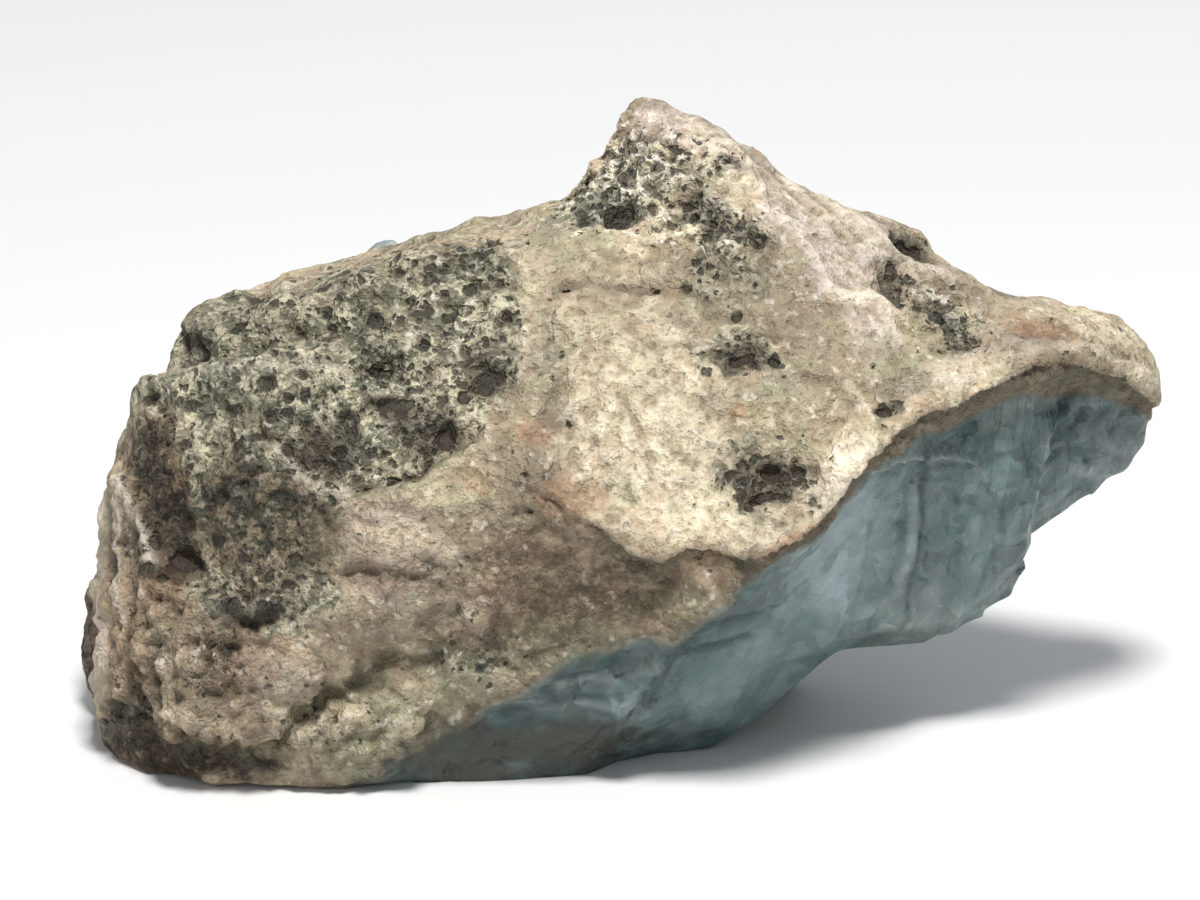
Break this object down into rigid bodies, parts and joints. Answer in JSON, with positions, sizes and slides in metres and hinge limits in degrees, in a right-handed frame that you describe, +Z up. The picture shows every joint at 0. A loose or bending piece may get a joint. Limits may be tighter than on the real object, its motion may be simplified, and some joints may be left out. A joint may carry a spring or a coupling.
{
  "type": "raw larimar",
  "caption": "Rough lump of larimar (blue pectolite) with a speckled basalt rind and a stepped blue broken face; stands on its flattened base.",
  "frame": {"origin": "on the surface the stone rests on, under the middle of its box", "axes": "+X along the stone's length, from the blunt end to the thin wing; +Y from the rind face to the broken back; +Z up, standing on its base"},
  "size_m": [0.0638, 0.0322, 0.0354],
  "materials": {
    "larimar": "matte weathered basalt rind, satin broken pectolite"
  },
  "bodies": {
    "root": {"larimar_stone": "larimar"}
  },
  "joints": []
}
